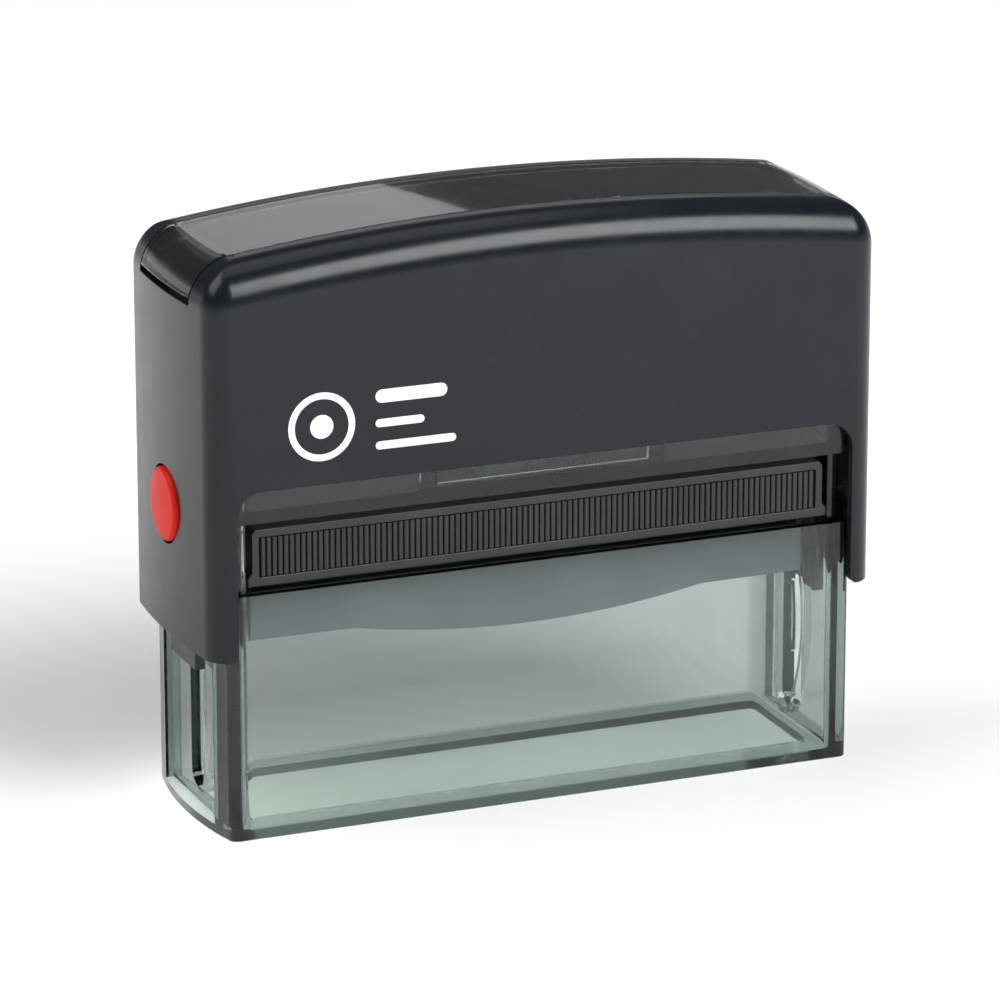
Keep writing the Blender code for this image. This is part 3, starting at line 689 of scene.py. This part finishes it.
# ---------------------------------------------------------------- die holder
def make_holder():
    end, depth, top = HOLDER_HIGH
    wide, dip, edge = 0.0250, 0.00234, 0.0254
    radius = (wide * wide + dip * dip) / (2 * dip)
    spread = math.degrees(math.asin(wide / radius))
    belly = arc((0.0, edge - dip + radius), radius, 270 - spread, 270 + spread, 40)
    foot = edge + 0.0001
    points = [(-end, top), (-end, foot)] + belly + [(end, foot), (end, top)]
    bar = prism("holder_bar", points, -depth, depth, "Y")
    for side, sign in SIDES.items():
        bore = span(sign, BOSS_BORE_FLOOR, end + 0.002)
        join(bar, x_cylinder("boss_" + side, BOSS_RADIUS, *span(sign, *BOSS), AXLE_HEIGHT))
        cut(bar, x_cylinder("bore_" + side, AXLE_BORE_RADIUS, *bore, AXLE_HEIGHT, 40))
    settle(bar, bevel=0.0003, segments=3)
    wear(bar, HOLDER_PLASTIC)
    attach(bar, "die_holder")
    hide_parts("platen")


# ---------------------------------------------------------------- carried-over parts
CARRIED = {
    "ink_pad": PAD_FELT,
    "spring_post": ACETAL,
    "index_card": CARD,
    "bridge": CARTRIDGE_PLASTIC,
    "axle_pin_left": STEEL,
    "axle_pin_right": STEEL,
    "axle_bush_left": ACETAL,
    "axle_bush_right": ACETAL,
    "platen_cam_left": ACETAL,
    "platen_cam_right": ACETAL,
    "die_cushion": FOAM,
    "text_die": DIE_RUBBER,
}


def dress_carried():
    """The CAD nodes that show as they are get their final materials."""
    for node, look in CARRIED.items():
        for slot in NODES[node].material_slots:
            slot.material = look


# ---------------------------------------------------------------- floor, light and camera
def floor_sheet(name, half_length, half_depth, height, dark, light, glow_high):
    """A matt sheet with a painted glow of its own, none near the object and rising with distance from it."""
    bm = bmesh.new()
    spread = Matrix.Diagonal((half_length, half_depth, 1.0, 1.0))
    bmesh.ops.create_grid(bm, x_segments=1, y_segments=1, size=1.0, matrix=spread)
    sheet = mesh_object(name, bm)
    sheet.location.z = height
    made, tree, shader = shader_of(name + "_matt")
    shade = blend_colours(tree, noise(tree, 6.0), dark, light)
    tree.links.new(shade.outputs["Color"], shader.inputs["Base Color"])
    shader.inputs["Roughness"].default_value = 0.9
    shader.inputs["Specular IOR Level"].default_value = 0.0
    shader.inputs["Emission Color"].default_value = (1.0, 1.0, 1.0, 1.0)
    # painted light: emission that brightens the floor with distance from the object and leaves it darker
    # close by
    place = tree.nodes.new("ShaderNodeTexCoord")
    away = tree.nodes.new("ShaderNodeVectorMath")
    away.operation = "LENGTH"
    glow = tree.nodes.new("ShaderNodeMapRange")
    glow.inputs["From Min"].default_value = 0.05
    glow.inputs["From Max"].default_value = 0.25
    glow.inputs["To Min"].default_value = 0.0
    glow.inputs["To Max"].default_value = glow_high
    tree.links.new(place.outputs["Object"], away.inputs[0])
    tree.links.new(away.outputs["Value"], glow.inputs["Value"])
    tree.links.new(glow.outputs["Result"], shader.inputs["Emission Strength"])
    sheet.data.materials.append(made)


def make_floor():
    """The pale floor, and a darker tinted patch inside the base: painted shadow for the light that reaches it
    only through the smoked walls.
    """
    floor_sheet("floor", 3.0, 3.0, -0.0001, (0.90, 0.90, 0.90), (0.93, 0.93, 0.93), 0.35)
    # painted shadow: a darker green-grey sheet under the base, since the smoked frame casts no shadow of its
    # own
    floor_sheet("painted_shadow_floor", *ROOM, -0.00005, (0.50, 0.57, 0.52), (0.54, 0.61, 0.56), 0.0)


def area(name, place, target, size, power):
    """A rectangular softbox that faces the target."""
    light = bpy.data.lights.new(name, "AREA")
    light.shape = "RECTANGLE"
    light.size, light.size_y = size
    light.energy = power
    item = bpy.data.objects.new(name, light)
    item.location = place
    item.rotation_euler = (Vector(target) - Vector(place)).to_track_quat("-Z", "Y").to_euler()
    bpy.context.scene.collection.objects.link(item)


def make_world():
    """A studio that is bright at the horizon and dark above."""
    world = bpy.data.worlds.new("studio")
    bpy.context.scene.world = world
    world.use_nodes = True
    tree = world.node_tree
    background = tree.nodes["Background"]
    place = tree.nodes.new("ShaderNodeTexCoord")
    split = tree.nodes.new("ShaderNodeSeparateXYZ")
    ramp = tree.nodes.new("ShaderNodeValToRGB")
    ramp.color_ramp.elements[0].position = 0.03
    ramp.color_ramp.elements[0].color = (1.0, 1.0, 1.0, 1.0)
    ramp.color_ramp.elements[1].position = 0.13
    ramp.color_ramp.elements[1].color = (0.12, 0.12, 0.13, 1.0)
    tree.links.new(place.outputs["Generated"], split.inputs["Vector"])
    tree.links.new(split.outputs["Z"], ramp.inputs["Fac"])
    tree.links.new(ramp.outputs["Color"], background.inputs["Color"])
    background.inputs["Strength"].default_value = 0.9


def make_lights():
    middle = (0.0, 0.0, 0.04)
    area("key_softbox", (0.34, -0.59, 0.62), middle, (0.58, 0.48), 9.0)
    area("top_softbox", (0.00, 0.15, 0.85), middle, (0.70, 0.50), 1.2)
    area("left_fill", (-0.60, 0.15, 0.70), middle, (0.60, 0.60), 3.8)
    area("back_panel", (0.36, 0.98, 0.50), middle, (0.42, 0.24), 0.24)


def make_camera():
    """The photograph's view, from the left front and a little above."""
    azimuth, elevation, distance = math.radians(22.368), math.radians(16.962), 0.7859
    target = Vector((0.0, 0.0, 0.042))
    away = Vector((-math.sin(azimuth) * math.cos(elevation), -math.cos(azimuth) * math.cos(elevation),
                   math.sin(elevation)))
    lens = bpy.data.cameras.new("camera")
    lens.sensor_width = 36.0
    lens.lens = 211.95
    lens.shift_x = -0.00477
    lens.shift_y = -0.0316
    camera = bpy.data.objects.new("camera", lens)
    camera.location = target + distance * away
    camera.rotation_euler = (-away).to_track_quat("-Z", "Y").to_euler()
    bpy.context.scene.collection.objects.link(camera)
    bpy.context.scene.camera = camera
    bpy.context.scene.view_settings.view_transform = "Standard"


make_camera()
make_floor()
make_world()
make_lights()
make_cover()
make_window()
make_mark()
make_buttons()
make_frame()
make_cartridge()
make_spring()
make_holder()
dress_carried()
